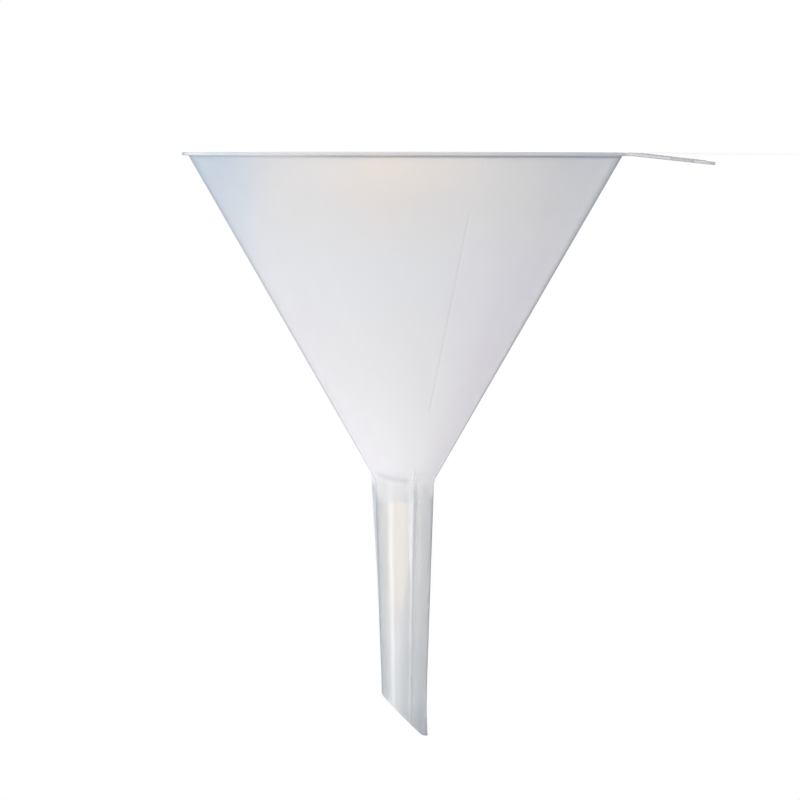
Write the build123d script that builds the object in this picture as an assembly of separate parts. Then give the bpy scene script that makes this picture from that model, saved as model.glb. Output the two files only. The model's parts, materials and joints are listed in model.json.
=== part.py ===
from build123d import *
import math
import os

# A conical laboratory funnel, moulded in one piece of translucent plastic.
# Millimetres. It stands mouth down on its rim, as it is set down on a bench.
# The origin is the centre of the rim's flat face, Z points up along the stem,
# and the hanging tab and the long side of the oblique spout are both on -X.

# Rim: a thin flat flange round the mouth
rim_diameter = 150.0
rim_thickness = 1.0
rim_overhang = 2.1  # from the cone's outside to the rim's edge
edge_round = 0.3  # on the stem-side edge round the rim and the tab
rim_root_fillet = 0.4

# Cone
cone_half_angle = 30.0
cone_wall = 1.2  # square to the wall

# Stem, measured outside
neck_diameter = 19.6  # where the cone's line meets the stem's
neck_fillet = 5.0
stem_length = 85.9  # from the neck to the spout's tip
stem_draft = 1.9
stem_wall = 1.1
spout_length = 19.0  # the last stretch, with less draft
spout_draft = 0.9

# Spout's oblique end
spout_angle = 45.0
tip_flat = 1.1  # blunted off the sharp tip
tip_round = 3.0

# Ribs that let air past the stem in a bottle's neck
rib_count = 3
first_rib_angle = 14.5
rib_top_height = 2.2  # heights are to the sharp crest, before it is rounded
rib_middle_height = 1.0
rib_spout_height = 0.36
rib_top_width = 3.0
rib_middle_width = 2.3
rib_spout_width = 1.4
rib_middle_drop = 32.0  # from the neck to where the middle height is
rib_crest_round = 0.5

# Hanging tab
tab_length = 29.2  # from the rim's edge
tab_width = 22.0
tab_thickness = 1.0
tab_droop = 6.3  # degrees towards the stem
tab_bend_length = 3.0
tab_root_fillet = 7.0
hang_hole_diameter = 8.0
bead_start = 4.2  # from the rim's edge
bead_inset = 3.0  # from the tab's edge
bead_width = 1.0
bead_height = 0.22
bead_corner = 2.0

# Worked out from the above
overlap = 1.0  # how far cutters and hidden ends run past the surface they meet
rim_radius = rim_diameter / 2
cone_top_radius = rim_radius - rim_overhang
neck_radius = neck_diameter / 2
cone_slope = math.tan(math.radians(cone_half_angle))
stem_slope = math.tan(math.radians(stem_draft))
spout_slope = math.tan(math.radians(spout_draft))
neck_height = rim_thickness + (cone_top_radius - neck_radius) / cone_slope
tip_height = neck_height + stem_length
spout_start = tip_height - spout_length
stem_end = tip_height + overlap
wall_across = cone_wall / math.cos(math.radians(cone_half_angle))
tab_half = tab_width / 2
tab_end_x = -(rim_radius + tab_length - tab_half)  # centre of the tab's round end
bend_radius = tab_bend_length / math.radians(tab_droop)


def cone_radius(z):
    """Outside radius of the cone at height z."""
    return neck_radius + (neck_height - z) * cone_slope


def stem_radius(z):
    """Outside radius of the stem at height z, with its two drafts."""
    upper = min(z, spout_start) - neck_height
    lower = max(z - spout_start, 0)
    return neck_radius - upper * stem_slope - lower * spout_slope


def nearest(shape, x, y):
    """The flat shape's corner nearest to a point."""
    return shape.vertices().sort_by_distance(Vector(x, y, 0))[0]


def outer_body():
    """Rim, cone and stem turned as one solid, with no hollow yet."""
    outline = Polyline(
        (0, 0),
        (rim_radius, 0),
        (rim_radius, rim_thickness),
        (cone_top_radius, rim_thickness),
        (neck_radius, neck_height),
        (stem_radius(spout_start), spout_start),
        (stem_radius(stem_end), stem_end),
        (0, stem_end),
        close=True,
    )
    profile = make_face(outline)
    profile = fillet(nearest(profile, cone_top_radius, rim_thickness), rim_root_fillet)
    profile = fillet(nearest(profile, neck_radius, neck_height), neck_fillet)
    return revolve(Plane.XZ * profile, Axis.Z)


def hollow():
    """The space inside: the mouth, the cone and the bore down the stem."""
    neck_z = neck_height - (wall_across - stem_wall) / (cone_slope - stem_slope)
    far = stem_end + overlap
    outline = Polyline(
        (0, -overlap),
        (cone_radius(-overlap) - wall_across, -overlap),
        (stem_radius(neck_z) - stem_wall, neck_z),
        (stem_radius(spout_start) - stem_wall, spout_start),
        (stem_radius(far) - stem_wall, far),
        (0, far),
        close=True,
    )
    profile = make_face(outline)
    neck = nearest(profile, stem_radius(neck_z) - stem_wall, neck_z)
    profile = fillet(neck, neck_fillet + cone_wall)
    return revolve(Plane.XZ * profile, Axis.Z)


def rib_section(z, height, width):
    """One rib cut across at height z: a ridge from inside the stem's wall, crest rounded."""
    surface = stem_radius(z)
    root = surface - stem_wall / 2
    peak = surface + height
    half_root = width / 2 * (peak - root) / height
    outline = Polyline((root, -half_root), (peak, 0), (root, half_root), close=True)
    face = make_face(outline)
    return Pos(0, 0, z) * fillet(nearest(face, peak, 0), rib_crest_round)


def ribs():
    """Tapered ribs that start inside the cone's wall and run past the spout's end."""
    height_taper = (rib_top_height - rib_middle_height) / rib_middle_drop
    width_taper = (rib_top_width - rib_middle_width) / rib_middle_drop
    rise = rib_top_height / (cone_slope - stem_slope - height_taper) + overlap
    sections = [
        rib_section(
            neck_height - rise,
            rib_top_height + height_taper * rise,
            rib_top_width + width_taper * rise,
        ),
        rib_section(neck_height + rib_middle_drop, rib_middle_height, rib_middle_width),
        rib_section(stem_end, rib_spout_height, rib_spout_width),
    ]
    rib = loft(sections, ruled=True)
    spacing = 360 / rib_count
    return [Rot(0, 0, first_rib_angle + spacing * i) * rib for i in range(rib_count)]


def spout_cutter():
    """All that the oblique cut takes off: above a slope that is blunted at its tip."""
    fall = math.tan(math.radians(spout_angle))
    reach = 3 * neck_radius
    knee_x = tip_flat - stem_radius(tip_height)
    outline = Polyline(
        (-reach, tip_height),
        (knee_x, tip_height),
        (reach, tip_height - (reach - knee_x) * fall),
        (reach, tip_height + reach),
        (-reach, tip_height + reach),
        close=True,
    )
    profile = make_face(outline)
    profile = fillet(nearest(profile, knee_x, tip_height), tip_round)
    return extrude(Plane.XZ * profile, reach, both=True)


def bent_strip(bottom):
    """The tab's side view given width: flat, one bend, then straight. Its mouth side
    lies at height bottom where it is flat, and its stem side at the tab's thickness."""
    turn = math.radians(tab_droop)
    inner_x = -(rim_radius - 3 * rim_overhang)
    straight = tab_length + overlap
    run = Vector(-math.cos(turn), math.sin(turn)) * straight

    def on_bend(height, angle):
        radius = bend_radius - height
        x = -rim_radius - radius * math.sin(angle)
        return Vector(x, bend_radius - radius * math.cos(angle))

    def side(height):
        flat = Vector(inner_x, height)
        start = on_bend(height, 0)
        end = on_bend(height, turn)
        bend = ThreePointArc(start, on_bend(height, turn / 2), end)
        return [Line(flat, start), bend, Line(end, end + run)]

    mouth_side = side(bottom)
    stem_side = side(tab_thickness)
    ends = [
        Line(mouth_side[0] @ 0, stem_side[0] @ 0),
        Line(mouth_side[2] @ 1, stem_side[2] @ 1),
    ]
    profile = make_face(mouth_side + stem_side + ends)
    return extrude(Plane.XZ * profile, rim_radius, both=True)


def droop_lift(x):
    """How far the tab's mouth side has left the rim's plane at x."""
    turn = math.radians(tab_droop)
    past_rim = max(-rim_radius - x, 0)
    on_bend = min(past_rim, bend_radius * math.sin(turn))
    bend_lift = bend_radius - math.sqrt(bend_radius**2 - on_bend**2)
    return bend_lift + (past_rim - on_bend) * math.tan(turn)


def tongue(root_x, half_width):
    """A flat strip from root_x out to a round end about the tab's end centre."""
    length = root_x - tab_end_x
    strip = Pos((root_x + tab_end_x) / 2, 0) * Rectangle(length, 2 * half_width)
    return strip + Pos(tab_end_x, 0) * Circle(half_width)


def upright(flat_shape):
    """A flat shape made a tall prism through the rim's level."""
    return extrude(flat_shape, rim_radius, both=True)


def tab_plate():
    """The tab itself, a drooping tongue that runs into the rim with a fillet each side."""
    join_x = -math.sqrt(rim_radius**2 - tab_half**2)
    plan = Circle(rim_radius) + tongue(0, tab_half)
    joins = [nearest(plan, join_x, -tab_half), nearest(plan, join_x, tab_half)]
    plan = fillet(joins, tab_root_fillet)
    return bent_strip(0) & upright(plan)


def tab_bead():
    """A low bead that follows the tab's edge on its mouth side."""
    root_x = -(rim_radius + bead_start)
    half_width = tab_half - bead_inset
    outside = tongue(root_x, half_width)
    squares = [nearest(outside, root_x, -half_width), nearest(outside, root_x, half_width)]
    outside = fillet(squares, bead_corner)
    ring = outside - offset(outside, -bead_width)
    return bent_strip(-bead_height) & upright(ring)


def hang_hole():
    """The hole's cutter, square to the tab and about the centre of its round end."""
    centre = Pos(tab_end_x, 0, droop_lift(tab_end_x)) * Rot(0, tab_droop, 0)
    return centre * Cylinder(hang_hole_diameter / 2, tab_length)


def round_outer_edge(solid):
    """Rounds the stem-side edge all the way round the rim and the tab. The mouth-side
    edge is where the two halves of the mould meet, so it stays sharp."""

    def on_outline(edge):
        middle = edge @ 0.5
        at_rim = math.hypot(middle.X, middle.Y) > (rim_radius + cone_top_radius) / 2
        above_mid_wall = middle.Z > droop_lift(middle.X) + (tab_thickness + edge_round) / 2
        bend_line = edge.geom_type == GeomType.LINE and abs(middle.Y) < rim_thickness
        return at_rim and above_mid_wall and middle.Z < neck_height / 2 and not bend_line

    return fillet(solid.edges().filter_by(on_outline), edge_round)


funnel = round_outer_edge(outer_body() + tab_plate()) + tab_bead() + ribs()
funnel = funnel - hollow() - spout_cutter() - hang_hole()
funnel.label = "funnel"

os.makedirs("parts", exist_ok=True)
export_step(funnel, "parts/funnel.step")
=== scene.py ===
import json

import bmesh
import bpy
import numpy as np
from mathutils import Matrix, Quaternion, Vector


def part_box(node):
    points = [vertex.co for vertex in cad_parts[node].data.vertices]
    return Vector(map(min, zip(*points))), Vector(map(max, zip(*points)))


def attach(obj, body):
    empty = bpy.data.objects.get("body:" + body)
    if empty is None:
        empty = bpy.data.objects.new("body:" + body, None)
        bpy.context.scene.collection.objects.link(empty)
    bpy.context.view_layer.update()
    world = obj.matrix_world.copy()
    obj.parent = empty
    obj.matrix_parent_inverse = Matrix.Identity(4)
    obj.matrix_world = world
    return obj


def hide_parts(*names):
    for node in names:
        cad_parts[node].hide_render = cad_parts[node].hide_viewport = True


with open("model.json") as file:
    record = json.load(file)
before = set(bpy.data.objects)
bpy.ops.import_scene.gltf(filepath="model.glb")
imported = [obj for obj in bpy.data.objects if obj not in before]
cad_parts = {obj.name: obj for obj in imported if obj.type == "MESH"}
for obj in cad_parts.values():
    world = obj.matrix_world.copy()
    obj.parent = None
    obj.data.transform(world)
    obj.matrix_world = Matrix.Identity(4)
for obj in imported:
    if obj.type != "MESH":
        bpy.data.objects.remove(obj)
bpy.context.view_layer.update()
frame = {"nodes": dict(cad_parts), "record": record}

# A conical laboratory funnel, one moulding of milky translucent plastic. It stands
# mouth down on its rim. Shapes are worked out in millimetres and stored in metres.

mm = 0.001
degree = np.pi / 180
print("frame loaded:", ", ".join(frame["nodes"]))

# Sizes of the moulding that the frame gives
boxLow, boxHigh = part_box("funnel")
mounts = {mount["name"]: mount for mount in frame["record"]["mounts"]}
rimRadius = boxHigh.x / mm
tabReach = -boxLow.x / mm
neckHeight = mounts["stem_seat"]["pos_m"][2] / mm
holeRadius = mounts["hang_hole"]["dims"]["r_mm"]

funnel = {  # millimetres and degrees
    "rimThickness": 1.0,
    "rimOverhang": 2.1,
    "rimRound": 0.3,         # stem-side edge of rim and tab
    "mouthEdgeRound": 0.08,  # mouth-side edge, all but sharp
    "mouthRound": 0.25,      # where the cone's inside meets the rim's flat face
    "rootFillet": 0.4,
    "coneAngle": 30.0,
    "coneWall": 1.2,
    "neckRadius": 9.8,
    "neckFillet": 5.0,
    "stemLength": 85.9,
    "stemDraft": 1.9,
    "stemWall": 1.1,
    "spoutLength": 19.0,
    "spoutDraft": 0.9,
    "cutAngle": 45.0,
    "cutRound": 0.15,
    "tipFlat": 1.1,
    "tipRound": 3.0,
}
rib = {
    "angles": [14.5, 134.5, 254.5],
    "heights": [2.2, 1.0, 0.36],  # to the sharp crest: at the neck, further on, past the tip
    "widths": [3.0, 2.3, 1.4],
    "middleDrop": 32.0,           # from the neck to the middle height and width
    "tipRun": 1.0,                # from the tip to the last ones
    "coneRun": 40.0,              # how far the taper is carried on from the neck into the cone
    "inCone": 10.0,               # and how far into the cone a rib is looked for
    "reach": 60.0,                # degrees from a crest within which the rib's formula holds
    "crestRound": 0.5,
    "rootBlend": 0.14,
}
tab = {
    "halfWidth": 11.0,
    "droop": 6.3,
    "bendLength": 3.0,
    "rootFillet": 7.0,
    "rootLine": 3.0,       # from the rim's edge to where the tongue's own grid starts
    "holeRound": 0.12,
    # rings from the plate's face into the hole: how far outside it and how deep, both as
    # multiples of its round
    "holeOutside": [2.2, 1.4, 1, 0.3, 0, 0],
    "holeDepths": [0, 0, 0, 0.3, 1, 3.5],
    "beadStart": 4.2,
    "beadInset": 3.0,
    "beadWidth": 1.0,
    "beadHeight": 0.22,
    "beadCorner": 2.0,
    # half the bead's section from its foot, as shares of its width and of its height
    "beadAcross": [0.62, 0.52, 0.44, 0.34, 0.17],
    "beadRise": [0, 0.12, 0.62, 0.95, 1],
}
grid = {  # how many rows and columns the surfaces have, and where the rows lie
    "rimColumns": 330,
    "ribCrowding": 2.2,    # how much closer the columns stand over a rib
    "ribSpread": 10.0,     # degrees
    "fineSteps": 6000,     # round the rim, to work out where its columns stand
    "cornerColumns": 9,
    "cornerRest": 3,       # the rest of the tab's root fillet, past the root line
    "sideColumns": 14,
    "endColumns": 26,
    "rootColumns": 30,
    "mouthRows": 5,
    "coneInsideRows": 22,
    "neckInsideRows": 12,
    "boreRows": 16,
    "stemRows": 30,
    "neckRows": 15,
    "ribRiseRows": 12,
    "ribRiseShare": 0.06,  # the cone's first stretch, where the ribs rise out of it
    "coneRows": 26,
    "rootRows": 6,
    "edgeRows": 6,
    "bevelMiddle": 0.3,    # share of a near-sharp edge's round at which its middle row lies
    "cutRoundRows": 3,
    "cutMiddle": [1 / 3, 2 / 3],
    "cutRounds": 8,        # of working out how high each column meets the cut
    "spoutShares": [0.12, 0.25, 0.4, 0.55, 0.7, 0.82, 0.91, 0.97, 1],
    "flangeShares": [0, 0.06, 0.2, 0.4, 0.6, 0.8, 0.93],
    "toBeadShares": [0, 0.1, 0.4, 0.7, 0.94],
    "toHoleShares": [0.06, 0.35, 0.7],
    "fromHoleShares": [0.1, 0.3, 0.5, 0.7, 0.9, 0.97, 1],
    "mergeDistance": 0.002,
}

coneSlope = np.tan(funnel["coneAngle"] * degree)
stemSlope = np.tan(funnel["stemDraft"] * degree)
spoutSlope = np.tan(funnel["spoutDraft"] * degree)
tipHeight = neckHeight + funnel["stemLength"]
spoutStart = tipHeight - funnel["spoutLength"]
coneRimRadius = rimRadius - funnel["rimOverhang"]
wallAcross = funnel["coneWall"] / np.cos(funnel["coneAngle"] * degree)
tabEnd = tabReach - tab["halfWidth"]   # distance of the round end's centre from the axis
tabTurn = tab["droop"] * degree
bendRadius = tab["bendLength"] / tabTurn


def stemRadius(z):
    # straight taper to the spout's start, then the spout's own gentler taper
    upper = np.minimum(z, spoutStart) - neckHeight
    lower = np.maximum(z - spoutStart, 0)
    return funnel["neckRadius"] - upper * stemSlope - lower * spoutSlope


def coneRadius(z):
    # the cone's line grows from the neck radius by its slope towards the mouth
    return funnel["neckRadius"] + (neckHeight - z) * coneSlope


def run(start, end, count):
    # evenly spaced points from start to end
    share = np.linspace(0, 1, count)[:, None]
    return np.array(start) * (1 - share) + np.array(end) * share


def arc(centre, radius, start, end, count):
    # count + 1 points on a circle, centre + radius * (cos, sin), angles in degrees
    swing = np.linspace(start, end, count + 1)[:, None] * degree
    return np.array(centre) + radius * np.concatenate([np.cos(swing), np.sin(swing)], axis=1)


def roundCorner(before, corner, after, radius, count):
    # an arc tangent to both legs: it starts radius*tan(turn/2) before the corner and each
    # point is the centre plus the start's arm turned by an even share of the whole turn
    before, corner, after = (np.array(p, float) for p in (before, corner, after))
    legIn = (corner - before) / np.linalg.norm(corner - before)
    legOut = (after - corner) / np.linalg.norm(after - corner)
    turn = np.arctan2(legIn[0] * legOut[1] - legIn[1] * legOut[0], legIn @ legOut)
    start = corner - legIn * radius * np.tan(abs(turn) / 2)
    arm = -np.sign(turn) * np.array([-legIn[1], legIn[0]]) * radius
    centre = start - arm
    swing = np.linspace(0, turn, count)[:, None]
    across = np.array([-arm[1], arm[0]])
    return centre + arm * np.cos(swing) + across * np.sin(swing)


def joined(pieces):
    # one line of points, where each piece starts on the last piece's end
    return np.concatenate([pieces[0]] + [piece[1:] for piece in pieces[1:]])


def insideProfile():
    # (radius, height) from the mouth down the cone's inside to the spout's start: straight
    # runs joined by tangent arcs
    neckZ = neckHeight - (wallAcross - funnel["stemWall"]) / (coneSlope - stemSlope)
    mouth = (coneRadius(0) - wallAcross, 0)
    neck = (stemRadius(neckZ) - funnel["stemWall"], neckZ)
    end = (stemRadius(spoutStart) - funnel["stemWall"], spoutStart)
    neckFillet = funnel["neckFillet"] + funnel["coneWall"]
    mouthArc = roundCorner((rimRadius, 0), mouth, neck, funnel["mouthRound"], grid["mouthRows"])
    neckArc = roundCorner(mouth, neck, end, neckFillet, grid["neckInsideRows"])
    cone = run(mouthArc[-1], neckArc[0], grid["coneInsideRows"])
    return joined([mouthArc, cone, neckArc, run(neckArc[-1], end, grid["boreRows"])])


def outsideProfile():
    # the same from the spout's start back up the outside to the flange
    start = (stemRadius(spoutStart), spoutStart)
    neck = (funnel["neckRadius"], neckHeight)
    root = (coneRimRadius, funnel["rimThickness"])
    neckArc = roundCorner(start, neck, root, funnel["neckFillet"], grid["neckRows"])
    flange = (rimRadius, funnel["rimThickness"])
    rootArc = roundCorner(neck, root, flange, funnel["rootFillet"], grid["rootRows"])
    ribRise = neckArc[-1] + (np.array(root) - neckArc[-1]) * grid["ribRiseShare"]
    return joined([
        run(start, neckArc[0], grid["stemRows"]),
        neckArc,
        run(neckArc[-1], ribRise, grid["ribRiseRows"]),
        run(ribRise, rootArc[0], grid["coneRows"]),
        rootArc,
    ])


def ribTaper(z, sizes):
    # a rib's height or width: straight from the neck to the middle and on past the tip, and
    # carried on at the first stretch's rate into the cone
    neck, middle, tip = sizes
    inCone = neck + (neck - middle) * rib["coneRun"] / rib["middleDrop"]
    heights = [
        neckHeight - rib["coneRun"],
        neckHeight,
        neckHeight + rib["middleDrop"],
        tipHeight + rib["tipRun"],
    ]
    return np.interp(z, heights, [inCone, neck, middle, tip])


def ribRadius(z, angle):
    # radius of the nearest rib's surface: a ridge whose sides are straight in section,
    # so r = peak / (cos a + steepness * |sin a|), and whose crest is a small circle
    height, width = ribTaper(z, rib["heights"]), ribTaper(z, rib["widths"])
    offsets = (angle[:, None] - np.array(rib["angles"]) * degree + np.pi) % (2 * np.pi) - np.pi
    away = np.abs(offsets).min(axis=-1)
    peak = stemRadius(z) + height
    steepness = 2 * height / width
    side = peak / (np.cos(away) + steepness * np.sin(away))
    halfApex = np.arctan(1 / steepness)
    crest = rib["crestRound"]
    crestCentre = peak - crest / np.sin(halfApex)
    depth = np.sqrt(np.maximum(crest**2 - (crestCentre * np.sin(away)) ** 2, 0))
    inCrest = side * np.sin(away) < crest * np.cos(halfApex)
    surface = np.where(inCrest, crestCentre * np.cos(away) + depth, side)
    return np.where(away < rib["reach"] * degree, surface, 0)


def withRibs(radius, z, angle):
    # the larger of body and rib, with the corner between them softened
    ridge = ribRadius(z, angle)
    soft = (radius + ridge + np.sqrt((radius - ridge) ** 2 + rib["rootBlend"] ** 2)) / 2
    return np.where(z > neckHeight - rib["inCone"], np.maximum(soft, radius), radius)


def spoutRadius(z, angle, inner):
    # the bore is round, the outside has the ribs
    if inner:
        return stemRadius(z) - funnel["stemWall"]
    return withRibs(stemRadius(z), z, angle)


def cutHeight(x):
    # the spout's oblique end: level at the tip, then a rounded knee, then a straight fall
    radius, turn = funnel["tipRound"], funnel["cutAngle"] * degree
    knee = funnel["tipFlat"] - stemRadius(tipHeight)
    past = x - knee + radius * np.tan(turn / 2)
    onArc = np.clip(past, 0, radius * np.sin(turn))
    arcDrop = radius - np.sqrt(radius**2 - onArc**2)
    return tipHeight - arcDrop - np.maximum(past - radius * np.sin(turn), 0) * np.tan(turn)


def spoutRows(shares, angle, inner, depth):
    # rows that stretch from the spout's start to depth under the oblique cut, each
    # column to its own height, found by a few rounds of z = cut(x), x = r(z) * cos
    shares = np.array(shares)[:, None]
    z = np.full((len(shares), len(angle)), spoutStart)
    for _ in range(grid["cutRounds"]):
        end = cutHeight(spoutRadius(z[-1], angle, inner) * np.cos(angle)) - depth
        z = spoutStart + (end - spoutStart) * shares
    return spoutRadius(z, angle, inner), z


def cutRows(angle):
    # the wall's oblique end, from the outside over two small rounds to the bore
    small = funnel["cutRound"]
    outer = spoutRows([1], angle, False, 0)[0][0]
    bore = spoutRows([1], angle, True, 0)[0][0]
    swing = np.linspace(0, 90, grid["cutRoundRows"] + 1)[1:, None] * degree
    inward = small * (1 - np.cos(swing))
    sunk = small * (1 - np.sin(swing))
    middle = np.array(grid["cutMiddle"])[:, None]
    radii = np.concatenate([outer - inward, outer + (bore - outer) * middle, bore + inward[::-1]])
    depths = np.concatenate([sunk, 0 * middle, sunk[::-1]])
    return radii, cutHeight(radii * np.cos(angle)) - depths


def droop(x, height):
    # the plate's level at x: flat inside the rim, one bend, then straight on
    past = np.maximum(-rimRadius - x, 0)
    radius = bendRadius - height
    onBend = np.minimum(past, radius * np.sin(tabTurn))
    return bendRadius - np.sqrt(radius**2 - onBend**2) + (past - onBend) * np.tan(tabTurn)


def cornerAngle():
    # where the tab's root fillet meets the rim, in degrees from the tab's middle
    beside = tab["halfWidth"] + tab["rootFillet"]
    return np.arcsin(beside / (rimRadius + tab["rootFillet"])) / degree


def rimAngles():
    # degrees round the rim from one side of the tab to the other, closer over the ribs:
    # the running total of a density with a bump at each rib, read off at even steps
    reach = 180 - cornerAngle()
    fine = np.linspace(-reach, reach, grid["fineSteps"])
    offsets = (fine[:, None] - np.array(rib["angles"]) + 180) % 360 - 180
    bumps = np.exp(-((offsets / grid["ribSpread"]) ** 4)).sum(axis=1)
    total = np.cumsum(1 + grid["ribCrowding"] * bumps)
    even = np.linspace(total[0], total[-1], grid["rimColumns"])
    return np.interp(even, total, fine)


def outline(inset):
    # the outline of rim and tab moved inwards, in the order that it goes round:
    # rim, a corner, the tongue and the other corner; each piece starts on the last one's end
    beside = tab["halfWidth"] + tab["rootFillet"]
    cornerX = -np.sqrt((rimRadius + tab["rootFillet"]) ** 2 - beside**2)
    cornerRadius = tab["rootFillet"] + inset
    half = tab["halfWidth"] - inset
    split = -np.arccos((-rimRadius - tab["rootLine"] - cornerX) / tab["rootFillet"]) / degree
    angles = rimAngles()[:, None] * degree
    rim = (rimRadius - inset) * np.concatenate([np.cos(angles), np.sin(angles)], axis=1)
    corner = arc((cornerX, beside), cornerRadius, -cornerAngle(), split, grid["cornerColumns"])
    side = joined([
        arc((cornerX, beside), cornerRadius, split, -90, grid["cornerRest"]),
        run((cornerX, half), (-tabEnd, half), grid["sideColumns"] + 1),
    ])
    end = arc((-tabEnd, 0), half, 90, 270, grid["endColumns"])
    mirror = np.array([1, -1])
    tongue = joined([side, end, side[::-1] * mirror])
    return {"rim": rim, "corner": corner, "tongue": tongue, "lastCorner": corner[::-1] * mirror}


def ringLoop(inset):
    # boundary of the round body's grid: rim, corner, the straight root line, corner
    part = outline(inset)
    root = run(part["corner"][-1], part["lastCorner"][0], grid["rootColumns"] + 1)
    return joined([part["rim"], part["corner"], root, part["lastCorner"]])[:-1]


def edgeLoop(inset):
    # the whole outline, once round
    part = outline(inset)
    return joined([part["rim"], part["corner"], part["tongue"], part["lastCorner"]])[:-1]


def tongueLoop(inset):
    # the tongue's outline, closed by the root line
    part = outline(inset)
    root = run(part["lastCorner"][0], part["corner"][-1], grid["rootColumns"] + 1)
    return joined([part["tongue"], root])[:-1]


def plateRows(start, end, shares, height):
    # rows from one plan curve to another, each at its height on the drooping plate
    plan = start + (end - start) * np.array(shares)[:, None, None]
    return np.concatenate([plan, droop(plan[..., :1], height)], axis=-1)


def polarRows(radii, heights, angle):
    # points at r * cos, r * sin and z, one row for each radius and height
    return np.stack([radii * np.cos(angle), radii * np.sin(angle), heights + 0 * angle], axis=-1)


def bodyGrid():
    # closed rings: mouth face, cone's inside, bore, cut, stem, cone's outside, flange
    low, high = ringLoop(funnel["mouthEdgeRound"]), ringLoop(funnel["rimRound"])
    angle = np.arctan2(low[:, 1], low[:, 0])
    circle = np.stack([np.cos(angle), np.sin(angle)], axis=-1)
    inside, outside = insideProfile(), outsideProfile()
    shares, small = grid["spoutShares"], funnel["cutRound"]
    outsideRadii = withRibs(outside[:, :1], outside[:, 1:], angle)
    flangeEnd = circle * outside[-1, 0]
    return np.concatenate([
        plateRows(low, circle * inside[0, 0], grid["flangeShares"], 0.0),
        polarRows(inside[:, :1], inside[:, 1:], angle),
        polarRows(*spoutRows(shares, angle, True, small), angle),
        polarRows(*cutRows(angle), angle)[::-1],
        polarRows(*spoutRows(shares, angle, False, small), angle)[::-1],
        polarRows(outsideRadii, outside[:, 1:], angle),
        plateRows(high, flangeEnd, grid["flangeShares"], funnel["rimThickness"])[::-1],
    ])


def edgeGrid():
    # the outline's edge wall: a quarter round on the stem side and a tiny one on the other
    big, thick = funnel["rimRound"], funnel["rimThickness"]
    swing = np.linspace(90, 0, grid["edgeRows"]) * degree
    bevel = funnel["mouthEdgeRound"] * np.array([0, grid["bevelMiddle"], 1])
    insets = np.concatenate([big * (1 - np.cos(swing)), [0], bevel])
    heights = np.concatenate([thick - big * (1 - np.sin(swing)), [thick / 2], bevel[::-1]])
    loops = [edgeLoop(inset) for inset in insets]
    return np.concatenate([
        plateRows(loop, loop, [0], height) for loop, height in zip(loops, heights)
    ])


def beadRadius(halfWidth, corner, angle):
    # a tongue seen from its round end's centre: circle, straight side, rounded corner, root
    tiny = 1e-6
    reach = tabEnd - rimRadius - tab["beadStart"] + halfWidth - (tab["halfWidth"] - tab["beadInset"])
    side = halfWidth / np.maximum(np.abs(np.sin(angle)), tiny)
    root = reach / np.maximum(np.cos(angle), tiny)
    straight = np.where(np.cos(angle) > 0, np.minimum(side, root), halfWidth)
    cornerDistance = np.hypot(reach - corner, halfWidth - corner)
    cornerTurn = np.abs(angle) - np.arctan2(halfWidth - corner, reach - corner)
    across = cornerDistance * np.sin(cornerTurn)
    onCircle = cornerDistance * np.cos(cornerTurn) + np.sqrt(np.maximum(corner**2 - across**2, 0))
    x, y = onCircle * np.cos(angle), np.abs(onCircle * np.sin(angle))
    inCorner = (x > reach - corner) & (y > halfWidth - corner) & (np.abs(across) < corner)
    return np.where(inCorner, onCircle, straight)


def beadRows(angle):
    # the bead's section, half of it and its mirror, carried round on its own outline
    half = np.array(tab["beadAcross"]) * tab["beadWidth"]
    offsets = np.concatenate([half, [0], -half[::-1]])
    half = np.array(tab["beadRise"]) * tab["beadHeight"]
    rise = np.concatenate([half, [tab["beadHeight"]], half[::-1]])[:, None]
    middle = tab["halfWidth"] - tab["beadInset"] - tab["beadWidth"] / 2
    corner = tab["beadCorner"] - tab["beadWidth"] / 2
    radii = np.stack([beadRadius(middle + off, corner + off, angle) for off in offsets])
    x = radii * np.cos(angle) - tabEnd
    return np.stack([x, radii * np.sin(angle), droop(x, -rise)], axis=-1)


def holeRows(angle):
    # rings about the hang hole's axis, square to the drooping tab: in from the mouth side
    # over a small round, through the wall, and the mirror of that out on the stem side
    half = np.array(tab["holeOutside"]) * tab["holeRound"]
    radii = np.concatenate([half, half[::-1]])[:, None] + holeRadius
    half = np.array(tab["holeDepths"]) * tab["holeRound"]
    heights = np.concatenate([half, funnel["rimThickness"] - half[::-1]])[:, None]
    x = -tabEnd + radii * np.cos(angle) * np.cos(tabTurn) + heights * np.sin(tabTurn)
    return np.stack([x, radii * np.sin(angle), droop(x, heights)], axis=-1)


def tongueGrid():
    # closed rings from the mouth side's outline over the bead and through the hole to the
    # stem side's outline
    low, high = tongueLoop(funnel["mouthEdgeRound"]), tongueLoop(funnel["rimRound"])
    angle = np.arctan2(low[:, 1], low[:, 0] + tabEnd)
    bead, hole = beadRows(angle), holeRows(angle)
    return np.concatenate([
        plateRows(low, bead[0, :, :2], grid["toBeadShares"], 0.0),
        bead,
        plateRows(bead[-1, :, :2], hole[0, :, :2], grid["toHoleShares"], 0.0),
        hole,
        plateRows(hole[-1, :, :2], high, grid["fromHoleShares"], funnel["rimThickness"]),
    ])


def quads(rows, columns, first):
    # corner numbers of the faces of a grid whose columns close on themselves
    index = first + np.arange(rows * columns).reshape(rows, columns)
    beside = np.roll(index, -1, axis=1)
    return np.stack([index[:-1], beside[:-1], beside[1:], index[1:]], axis=-1).reshape(-1, 4)


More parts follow.
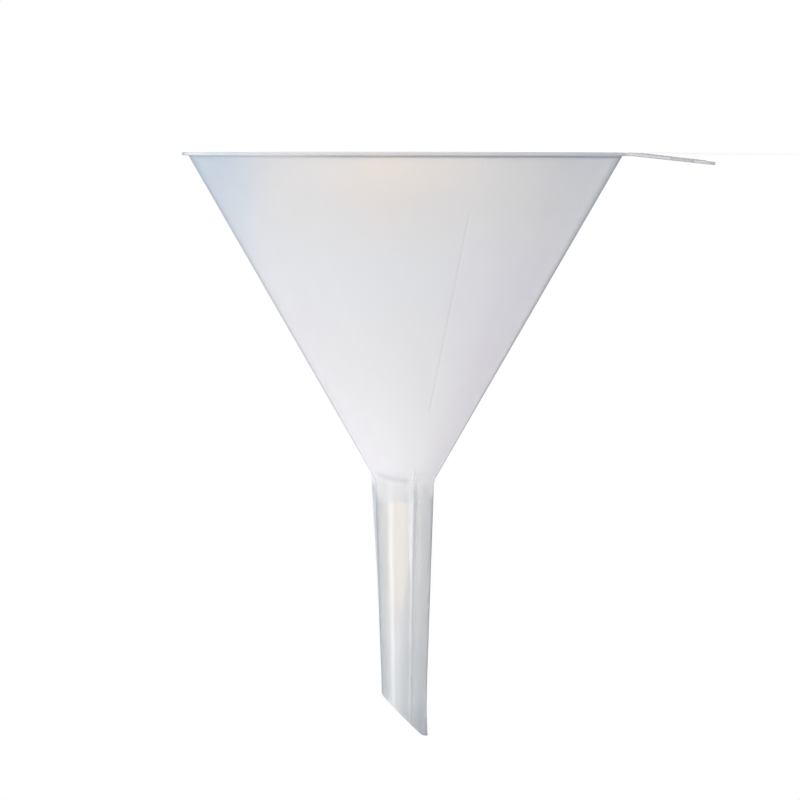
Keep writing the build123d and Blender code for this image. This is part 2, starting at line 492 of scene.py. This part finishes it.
def meshFromGrids(name, sheets):
    # all grids in one mesh; the rows that they share are merged
    points = np.concatenate([sheet.reshape(-1, 3) for sheet in sheets]) * mm
    firsts = np.cumsum([0] + [sheet[..., 0].size for sheet in sheets])
    faces = np.concatenate([
        quads(*sheet.shape[:2], first) for sheet, first in zip(sheets, firsts)
    ])
    mesh = bpy.data.meshes.new(name)
    mesh.vertices.add(len(points))
    mesh.vertices.foreach_set("co", points.ravel())
    mesh.loops.add(faces.size)
    mesh.loops.foreach_set("vertex_index", faces.ravel().astype(np.int32))
    mesh.polygons.add(len(faces))
    mesh.polygons.foreach_set("loop_start", np.arange(0, faces.size, 4, dtype=np.int32))
    mesh.update(calc_edges=True)
    work = bmesh.new()
    work.from_mesh(mesh)
    bmesh.ops.remove_doubles(work, verts=work.verts, dist=grid["mergeDistance"] * mm)
    bmesh.ops.recalc_face_normals(work, faces=work.faces)
    openEdges = sum(not edge.is_manifold for edge in work.edges)
    work.to_mesh(mesh)
    work.free()
    mesh.polygons.foreach_set("use_smooth", np.ones(len(mesh.polygons), bool))
    mesh.update()
    piece = bpy.data.objects.new(name, mesh)
    bpy.context.scene.collection.objects.link(piece)
    print(name, len(mesh.polygons), "faces,", openEdges, "open edges")
    return piece


def addNode(tree, kind, inputs=(), **settings):
    # a value goes into its socket, and another node's output is linked to it
    node = tree.nodes.new(kind)
    for name, value in settings.items():
        setattr(node, name, value)
    for key, value in dict(inputs).items():
        if isinstance(value, bpy.types.NodeSocket):
            tree.links.new(value, node.inputs[key])
        else:
            node.inputs[key].default_value = value
    return node


def maths(tree, operation, first, second=0.0):
    return addNode(tree, "ShaderNodeMath", {0: first, 1: second}, operation=operation).outputs[0]


def product(tree, *factors):
    result = factors[0]
    for factor in factors[1:]:
        result = maths(tree, "MULTIPLY", result, factor)
    return result


def oneMinus(tree, value):
    return maths(tree, "SUBTRACT", 1.0, value)


def between(tree, value, low, high, start=0.0, end=1.0):
    # start up to low, end from high on, and smooth in between
    return addNode(
        tree, "ShaderNodeMapRange", {0: value, 1: low, 2: high, 3: start, 4: end},
        interpolation_type="SMOOTHSTEP",
    ).outputs[0]


def fading(tree, value, low, high):
    # 1 up to low, 0 from high on
    return between(tree, value, low, high, 1.0, 0.0)


def within(tree, value, low, high, soft):
    # 1 from low to high, with soft edges outside
    rise = between(tree, value, low - soft, low)
    return maths(tree, "MULTIPLY", rise, fading(tree, value, high, high + soft))


def nearby(tree, value, centre, reach):
    # 1 at the centre, falling smoothly to 0 at a distance of reach
    apart = maths(tree, "ABSOLUTE", maths(tree, "SUBTRACT", value, centre))
    return fading(tree, apart, 0.0, reach)


def tinted(tree, colour, tint, share):
    # the colour times the tint, as far as the share goes
    return addNode(
        tree, "ShaderNodeMix", {0: share, 6: colour, 7: (*tint, 1)},
        data_type="RGBA", blend_type="MULTIPLY",
    ).outputs[2]


def mixed(tree, share, first, second):
    # first where the share is 0, second where it is 1
    inputs = {0: share, 1: first.outputs[0], 2: second.outputs[0]}
    return addNode(tree, "ShaderNodeMixShader", inputs)


marks = {  # places in millimetres on the funnel, tints as a share of each colour
    "cloud": {  # the painted warm light isn't even; scale per metre
        "scale": 55.0, "detail": 2.0, "low": 0.35, "high": 0.65, "least": 0.6,
    },
    "warmLight": {  # painted warm light: a wide warm patch at the mouth
        "x": 3.0, "reach": 72.0, "low": 4.0, "high": 42.0, "tint": (1.065, 0.97, 0.89),
    },
    "mouth": {  # painted highlight: the warm light's brightest part, next to the flange
        "x": 3.0, "reach": 52.0, "low": 2.0, "high": 19.0, "tint": (1.085, 1.09, 1.075),
    },
    "coolShade": {  # painted cool shade beside it
        "from": 40.0, "to": 65.0, "low": 4.0, "high": 80.0, "tint": (0.85, 0.91, 0.965),
    },
    "lilacReflection": {  # and a faint painted lilac reflection across from it
        "from": -8.0, "to": -25.0, "low": 35.0, "high": 88.0, "soft": 14.0,
        "tint": (1.005, 0.993, 1.015),
    },
    "flow": {  # the line where two streams of plastic met
        "angle": -109.6, "width": 0.55, "low": 22.0, "high": 84.0, "soft": 4.0,
        "tint": (0.90, 0.90, 0.93),
    },
    "glint": {  # a pale line along it
        "apart": 0.9, "tint": (1.03, 1.03, 1.03),
    },
    "rimGlint": {  # and a short painted glint at the rim, in line with it
        "angle": -111.5, "width": 0.55, "low": 2.5, "high": 5.5, "soft": 1.0,
        "tint": (1.06, 1.06, 1.06),
    },
    "corner": {  # painted shade in the thick corner between flange and cone, fainter towards +X
        "radius": 72.6, "width": 1.6, "height": 1.5, "reach": 0.8,
        "fadeFrom": 8.0, "fadeTo": 58.0, "least": 0.35, "tint": (0.50, 0.54, 0.59),
    },
    "flange": {  # painted light on the flange, from where the cone and its tints end, lighter towards +X too
        "from": 72.9, "to": 74.2, "fullX": 55.0, "tint": (1.22, 1.20, 1.16),
    },
    "tab": {  # painted shade: the tab darker than the flange
        "from": 75.5, "to": 79.0, "tint": (0.86, 0.86, 0.86),
    },
    "neck": {  # painted shade: a darker ring on the thick wall between cone and stem, lower at its sides
        "height": 109.9, "reach": 1.5, "sag": 0.027, "from": 0.0, "to": 8.0, "soft": 2.5,
        "tint": (0.86, 0.87, 0.89),
    },
    "bore": {  # painted warm light: a bright stretch in the stem that narrows from one side
        "from": -0.9, "fromSoft": 1.0, "to": 4.4, "toSoft": 2.0, "low": 117.0, "lowSoft": 1.5,
        "slantFrom": 136.0, "slant": 3.6, "fadeFrom": 146.0, "high": 164.0,
        "tint": (1.11, 1.07, 1.03),
    },
    "sheen": {  # a painted sheen: a paler strip of the stem below that stretch
        "from": 2.6, "to": 4.6, "soft": 2.0, "low": 163.0, "high": 192.0, "endSoft": 10.0,
        "tint": (1.10, 1.09, 1.09),
    },
    "besideRib": {  # a thin pale line beside the front rib
        "x": -4.9, "width": 0.45, "low": 116.0, "high": 142.0, "soft": 6.0,
        "frontFrom": -6.0, "frontTo": -4.0, "tint": (1.09, 1.09, 1.08),
    },
}


def coneMarks(tree, place, x, y, z, radius):
    # how strongly each of the cone's marks shows, from 0 to 1
    warmLight, mouth, coolShade, lilacReflection = (marks[name] for name in ("warmLight", "mouth", "coolShade", "lilacReflection"))
    flow, rimGlint, flange, cloud = (marks[name] for name in ("flow", "rimGlint", "flange", "cloud"))
    noise = addNode(
        tree, "ShaderNodeTexNoise",
        {"Vector": place, "Scale": cloud["scale"], "Detail": cloud["detail"]},
    ).outputs[0]
    # noise that makes the painted warm light uneven
    warmLightBreakup = between(tree, noise, cloud["low"], cloud["high"], cloud["least"], 1.0)
    onCone = fading(tree, radius, flange["from"], flange["to"])
    angle = maths(tree, "ARCTAN2", y, x)

    def besideLine(degrees):
        # millimetres round the cone from a line that runs straight up it
        return maths(tree, "MULTIPLY", maths(tree, "SUBTRACT", angle, degrees * degree), radius)

    across = besideLine(flow["angle"])
    along = within(tree, z, flow["low"], flow["high"], flow["soft"])
    return {
        # painted lilac reflection on the cone's -X side
        "lilacReflection": product(
            tree, onCone,
            fading(tree, x, lilacReflection["to"], lilacReflection["from"]),
            within(tree, z, lilacReflection["low"], lilacReflection["high"], lilacReflection["soft"]),
        ),
        # painted light on the flange, strongest towards +X
        "flange": product(tree, oneMinus(tree, onCone), between(tree, x, 0.0, flange["fullX"])),
        # painted warm light near the mouth
        "warmLight": product(
            tree, warmLightBreakup, onCone,
            nearby(tree, x, warmLight["x"], warmLight["reach"]),
            fading(tree, z, warmLight["low"], warmLight["high"]),
        ),
        # painted highlight next to the flange
        "mouth": product(
            tree, warmLightBreakup, onCone,
            nearby(tree, x, mouth["x"], mouth["reach"]),
            fading(tree, z, mouth["low"], mouth["high"]),
        ),
        # painted cool shade on the cone's +X side
        "coolShade": product(
            tree, onCone,
            between(tree, x, coolShade["from"], coolShade["to"]),
            fading(tree, z, coolShade["low"], coolShade["high"]),
        ),
        # painted glint at the rim
        "rimGlint": product(
            tree, nearby(tree, besideLine(rimGlint["angle"]), 0.0, rimGlint["width"]),
            within(tree, z, rimGlint["low"], rimGlint["high"], rimGlint["soft"]),
        ),
        "glint": product(tree, nearby(tree, across, -marks["glint"]["apart"], flow["width"]), along),
        "flow": product(tree, nearby(tree, across, 0.0, flow["width"]), along),
    }


def stemMarks(tree, x, y, z):
    # the same for the neck and the stem
    neck, bore, sheen, line = (marks[name] for name in ("neck", "bore", "sheen", "besideRib"))
    sagged = maths(tree, "ADD", z, product(tree, x, x, neck["sag"]))
    narrowed = between(tree, z, bore["slantFrom"], bore["high"], 0.0, bore["slant"])
    pastSlant = maths(tree, "SUBTRACT", x, narrowed)
    return {
        # painted sheen on the stem
        "sheen": product(
            tree, within(tree, x, sheen["from"], sheen["to"], sheen["soft"]),
            within(tree, z, sheen["low"], sheen["high"], sheen["endSoft"]),
        ),
        "besideRib": product(
            tree, nearby(tree, x, line["x"], line["width"]),
            within(tree, z, line["low"], line["high"], line["soft"]),
            fading(tree, y, line["frontFrom"], line["frontTo"]),
        ),
        # painted warm light in the stem
        "bore": product(
            tree, between(tree, pastSlant, bore["from"] - bore["fromSoft"], bore["from"]),
            fading(tree, x, bore["to"], bore["to"] + bore["toSoft"]),
            between(tree, z, bore["low"], bore["low"] + bore["lowSoft"]),
            fading(tree, z, bore["fadeFrom"], bore["high"]),
        ),
        # painted shade ring at the neck
        "neck": product(
            tree, nearby(tree, sagged, neck["height"], neck["reach"]),
            within(tree, x, neck["from"], neck["to"], neck["soft"]),
        ),
    }


def cornerShade(tree, radius, z):
    # where shade is painted: 1 in the corner between flange and cone, on its own circle and at its own
    # height
    corner = marks["corner"]
    return product(
        tree, nearby(tree, radius, corner["radius"], corner["width"]),
        nearby(tree, z, corner["height"], corner["reach"]),
    )


plastic = {
    # height in millimetres, and the share of red, green and blue thrown back there; its changes with
    # height are painted shade, darker towards the mouth and the tip
    "scattered": [
        (0, (0.60, 0.65, 0.73)),
        (30, (0.69, 0.72, 0.77)),
        (80, (0.81, 0.81, 0.84)),
        (108, (0.88, 0.87, 0.90)),
        (112, (0.86, 0.86, 0.89)),
        (118, (0.92, 0.92, 0.93)),
        (150, (0.92, 0.92, 0.93)),
        (184, (0.78, 0.80, 0.82)),
        (196, (0.50, 0.53, 0.56)),
    ],
    # and the share let through, with painted shade that darkens it towards the tip
    "passed": [
        (0, (0.92, 0.91, 0.90)),
        (80, (0.95, 0.94, 0.94)),
        (106, (0.98, 0.97, 0.98)),
        (118, (0.95, 0.95, 0.94)),
        (196, (0.84, 0.86, 0.88)),
    ],
    "refraction": 1.49,
    "shine": 0.6,           # the surface's reflection, 0.5 being what the refraction gives
    "grainScale": 2600.0,   # the mould's fine grain, per metre
    "grainDetail": 3.0,
    "grainDepth": 0.2,      # millimetres
    "grainStrength": 0.08,
    "glossStrength": 0.006,
    "grainEnd": 106.0,      # millimetres up, where the grain starts to fade
    "glossFrom": 112.0,     # and where it has gone
    "grainRoughness": 0.45,
    "glossRoughness": 0.19,
    "milkEnd": 111.5,       # where the thick, milky neck starts to turn clear
    "clearFrom": 119.0,     # and where it has
    "clearBody": 0.76,      # how much of the clear wall's body is like glass
    "milkyThrough": 0.5,    # of the light that meets the wall square, how much goes through
    "clearThrough": 0.2,
    "slantedFrom": 0.7,     # Layer Weight's facing where that starts to fall
    "milkyStraight": 0.6,   # share that passes straight through the surface, head-on
    "clearStraight": 0.15,
    "straightFrom": 0.13,   # facing where that starts to fall, and where it is nil
    "straightTo": 0.8,
    "dense": (0.36, 0.40, 0.44, 1),  # the wall met edge-on
    "denseMost": 0.9,       # how much of that shows at most
    "milkyEdge": 0.74,      # facing from which the silhouette darkens
    "clearEdge": 0.38,
    "ribFrom": 0.1,         # millimetres above the stem where a rib starts to look solid
    "ribFull": 0.7,         # and where it does
    "ribRun": 3.0,          # from the neck, how far the solid look takes to come in
    "ribMilk": 0.75,        # how much of the stem's clearness a rib lacks
    "ribRoughness": 0.36,
    "ribTint": (0.90, 0.91, 0.93),
    "sideRibFrom": 8.0,     # painted shade: the rib on +X is darker than the others
    "sideRibTo": 9.5,
    "sideRibShade": (0.82, 0.85, 0.88),
}


def heightColour(tree, height, stops):
    # a colour ramp over the funnel's height in millimetres
    node = addNode(tree, "ShaderNodeValToRGB", {0: maths(tree, "DIVIDE", height, tipHeight)})
    while len(node.color_ramp.elements) < len(stops):
        node.color_ramp.elements.new(0.5)
    for element, (level, colour) in zip(node.color_ramp.elements, stops):
        element.position = level / tipHeight
        element.color = (*colour, 1)
    return node.outputs[0]


def onRib(tree, radius, z):
    # how far a rib stands out from the stem's own taper, as a share of its full milkiness
    narrower = product(tree, maths(tree, "SUBTRACT", z, neckHeight), stemSlope)
    surface = maths(tree, "SUBTRACT", funnel["neckRadius"], narrower)
    above = maths(tree, "SUBTRACT", radius, surface)
    return product(
        tree, between(tree, above, plastic["ribFrom"], plastic["ribFull"]),
        between(tree, z, neckHeight, neckHeight + plastic["ribRun"]),
    )


def milkyPlastic():
    # a matt or glassy body, light scattered through it, light straight through it, and a
    # dense colour where the wall is met at a slant
    material = bpy.data.materials.new("milkyPolypropylene")
    material.use_nodes = True
    tree = material.node_tree
    tree.nodes.clear()
    output = addNode(tree, "ShaderNodeOutputMaterial")
    place = addNode(tree, "ShaderNodeTexCoord").outputs["Object"]
    split = addNode(tree, "ShaderNodeSeparateXYZ", {0: place})
    x, y, z = (maths(tree, "MULTIPLY", split.outputs[axis], 1 / mm) for axis in range(3))
    radius = maths(tree, "SQRT", maths(tree, "ADD", product(tree, x, x), product(tree, y, y)))
    gloss = between(tree, z, plastic["grainEnd"], plastic["glossFrom"])
    polish = between(tree, z, plastic["milkEnd"], plastic["clearFrom"])
    solid = onRib(tree, radius, z)
    thinWall = oneMinus(tree, product(tree, solid, plastic["ribMilk"]))
    facing = addNode(tree, "ShaderNodeLayerWeight").outputs["Facing"]

    # colours, the marks placed on the object with their painted light and shade, and the ribs
    corner, tabShade = marks["corner"], marks["tab"]
    inCorner = cornerShade(tree, radius, z)
    shares = coneMarks(tree, place, x, y, z, radius) | stemMarks(tree, x, y, z)
    # painted shade on the tab
    shares["tab"] = between(tree, radius, tabShade["from"], tabShade["to"])
    # the painted corner shade, weaker towards +X
    fade = between(tree, x, corner["fadeFrom"], corner["fadeTo"], 1.0, corner["least"])
    shares["corner"] = maths(tree, "MULTIPLY", inCorner, fade)
    # painted shade on the rib that faces +X
    sideRib = product(tree, solid, between(tree, x, plastic["sideRibFrom"], plastic["sideRibTo"]))
    colours = {}
    for kind in ("scattered", "passed"):
        colour = heightColour(tree, z, plastic[kind])
        for name, share in shares.items():
            colour = tinted(tree, colour, marks[name]["tint"], share)
        colour = tinted(tree, colour, plastic["ribTint"], solid)
        colours[kind] = tinted(tree, colour, plastic["sideRibShade"], sideRib)

    # the body's surface
    frost = between(tree, gloss, 0.0, 1.0, plastic["grainStrength"], plastic["glossStrength"])
    plain = between(tree, gloss, 0.0, 1.0, plastic["grainRoughness"], plastic["glossRoughness"])
    ribbed = maths(tree, "MULTIPLY", solid, plastic["ribRoughness"])
    grain = addNode(
        tree, "ShaderNodeTexNoise",
        {"Vector": place, "Scale": plastic["grainScale"], "Detail": plastic["grainDetail"]},
    )
    bump = addNode(
        tree, "ShaderNodeBump",
        {"Height": grain.outputs[0], "Strength": frost, "Distance": plastic["grainDepth"] * mm},
    ).outputs[0]
    body = addNode(tree, "ShaderNodeBsdfPrincipled", {
        "Base Color": colours["scattered"],
        "Roughness": maths(tree, "MAXIMUM", plain, ribbed),
        "IOR": plastic["refraction"],
        "Specular IOR Level": plastic["shine"],
        "Transmission Weight": product(tree, polish, plastic["clearBody"], thinWall),
        "Normal": bump,
    })

    # light that goes through, scattered or straight
    through = addNode(tree, "ShaderNodeBsdfTranslucent", {"Color": colours["passed"], "Normal": bump})
    most = between(tree, polish, 0.0, 1.0, plastic["milkyThrough"], plastic["clearThrough"])
    square = fading(tree, facing, plastic["slantedFrom"], 1.0)
    milky = mixed(tree, product(tree, square, most), body, through)
    straight = addNode(tree, "ShaderNodeBsdfTransparent")
    most = between(tree, polish, 0.0, 1.0, plastic["milkyStraight"], plastic["clearStraight"])
    square = fading(tree, facing, plastic["straightFrom"], plastic["straightTo"])
    straightShare = product(tree, square, most, oneMinus(tree, inCorner), thinWall)
    wall = mixed(tree, straightShare, milky, straight)

    # seen at a slant the wall is many times as deep, and sends back less light
    dense = addNode(tree, "ShaderNodeBsdfDiffuse", {"Color": plastic["dense"]})
    clearness = maths(tree, "MULTIPLY", polish, thinWall)
    edgeFrom = between(tree, clearness, 0.0, 1.0, plastic["milkyEdge"], plastic["clearEdge"])
    edge = between(tree, facing, edgeFrom, 1.0, 0.0, plastic["denseMost"])
    whole = mixed(tree, edge, wall, dense)
    tree.links.new(whole.outputs[0], output.inputs["Surface"])
    return material


stage = {
    "floorHalf": 8.0,
    "floorLevel": -0.05 * mm,
    "floorColour": (0.8, 0.8, 0.8, 1),
    "glow": 0.33,          # what the eye's rays get on top, so that unshaded floor is white
    "whiteFrom": 0.16,     # metres from the object where the floor starts to turn plain white
    "whiteAt": 0.45,
    "skyLight": 0.515,     # the world's strength as light on the object
}


def seenDirectly(tree):
    # 1 for rays of the camera and for those mirrored or let through on their way to it
    rays = addNode(tree, "ShaderNodeLightPath").outputs
    either = maths(tree, "MAXIMUM", rays["Is Camera Ray"], rays["Is Glossy Ray"])
    return maths(tree, "MAXIMUM", either, rays["Is Transmission Ray"])


def whiteFloor():
    # a pale matt floor that keeps the shadow and turns white away from the object
    half, level = stage["floorHalf"], stage["floorLevel"]
    corners = [(x * half, y * half, level) for x, y in ((-1, -1), (1, -1), (1, 1), (-1, 1))]
    mesh = bpy.data.meshes.new("floor")
    mesh.from_pydata(corners, [], [(0, 1, 2, 3)])
    floor = bpy.data.objects.new("floor", mesh)
    bpy.context.scene.collection.objects.link(floor)
    material = bpy.data.materials.new("paleFloor")
    material.use_nodes = True
    tree = material.node_tree
    tree.nodes.clear()
    output = addNode(tree, "ShaderNodeOutputMaterial")
    place = addNode(tree, "ShaderNodeTexCoord").outputs["Object"]
    away = addNode(tree, "ShaderNodeVectorMath", {0: place}, operation="LENGTH").outputs["Value"]
    far = between(tree, away, stage["whiteFrom"], stage["whiteAt"])
    matt = addNode(tree, "ShaderNodeBsdfDiffuse", {"Color": stage["floorColour"]})
    glow = addNode(tree, "ShaderNodeEmission", {"Strength": stage["glow"]})
    white = addNode(tree, "ShaderNodeEmission", {"Strength": 1.0})
    near = addNode(tree, "ShaderNodeAddShader", {0: matt.outputs[0], 1: glow.outputs[0]})
    shown = mixed(tree, seenDirectly(tree), matt, mixed(tree, far, near, white))
    tree.links.new(shown.outputs[0], output.inputs["Surface"])
    mesh.materials.append(material)


def whiteWorld():
    # white to the eye, and weaker as light on the object
    world = bpy.data.worlds.new("studio")
    bpy.context.scene.world = world
    world.use_nodes = True
    tree = world.node_tree
    tree.nodes.clear()
    output = addNode(tree, "ShaderNodeOutputWorld")
    level = between(tree, seenDirectly(tree), 0.0, 1.0, stage["skyLight"], 1.0)
    sky = addNode(tree, "ShaderNodeBackground", {"Color": (1, 1, 1, 1), "Strength": level})
    tree.links.new(sky.outputs[0], output.inputs["Surface"])


lamps = {  # metres, and the light that each square metre sends out
    "keyFront": {
        "place": (0.40, -1.24, 0.42), "target": (0, 0, 0.09), "size": (0.9, 0.9), "radiance": 1.38,
    },
    "fillRight": {
        "place": (-1.24, -0.46, 0.42), "target": (0, 0, 0.09), "size": (0.5, 0.9), "radiance": 0.7,
    },
    "stripLeft": {
        "place": (1.15, -0.62, 0.42), "target": (0, 0, 0.12), "size": (0.42, 0.9), "radiance": 5.4,
    },
    "overhead": {
        "place": (0.1, 0.1, 0.9), "target": (0, 0, 0.1), "size": (0.8, 0.8), "radiance": 1.0,
    },
}


def softbox(name, place, target, size, radiance):
    # an area lamp's power is its radiance times its area times pi
    data = bpy.data.lights.new(name, "AREA")
    data.shape = "RECTANGLE"
    data.size, data.size_y = size
    data.energy = radiance * size[0] * size[1] * np.pi
    lamp = bpy.data.objects.new(name, data)
    bpy.context.scene.collection.objects.link(lamp)
    lamp.location = place
    lamp.rotation_mode = "QUATERNION"
    lamp.rotation_quaternion = (Vector(target) - Vector(place)).to_track_quat("-Z", "Y")
    lamp.visible_camera = False


camera = {
    "distance": 2.2,
    "height": 0.0077,
    "aimX": 0.0017,
    "aimZ": 0.0832,
    "frameWidth": 800,
    "pixelSize": 0.3363 * mm,  # at the axis
    "sensorWidth": 36,
    "roll": 180.08,            # upside down, as the photograph shows the funnel
}


def makeCamera():
    # the lens is the distance times the sensor's width over the width seen at the axis
    data = bpy.data.cameras.new("photoCamera")
    data.sensor_width = camera["sensorWidth"]
    data.lens = camera["distance"] / camera["pixelSize"] / camera["frameWidth"] * camera["sensorWidth"]
    view = bpy.data.objects.new("photoCamera", data)
    bpy.context.scene.collection.objects.link(view)
    place = Vector((camera["aimX"], -camera["distance"], camera["height"]))
    target = Vector((camera["aimX"], 0, camera["aimZ"]))
    view.location = place
    view.rotation_mode = "QUATERNION"
    upright = (target - place).to_track_quat("-Z", "Y")
    view.rotation_quaternion = upright @ Quaternion((0, 0, 1), camera["roll"] * degree)
    bpy.context.scene.camera = view


makeCamera()
print("camera set")
shell = meshFromGrids("funnelShell", [bodyGrid(), edgeGrid(), tongueGrid()])
shell.data.materials.append(milkyPlastic())
print("plastic made")
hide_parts("funnel")
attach(shell, "root")
whiteFloor()
whiteWorld()
for name, lamp in lamps.items():
    softbox(name, **lamp)
print("floor, world and lamps set")

bpy.context.scene.view_settings.view_transform = "Standard"
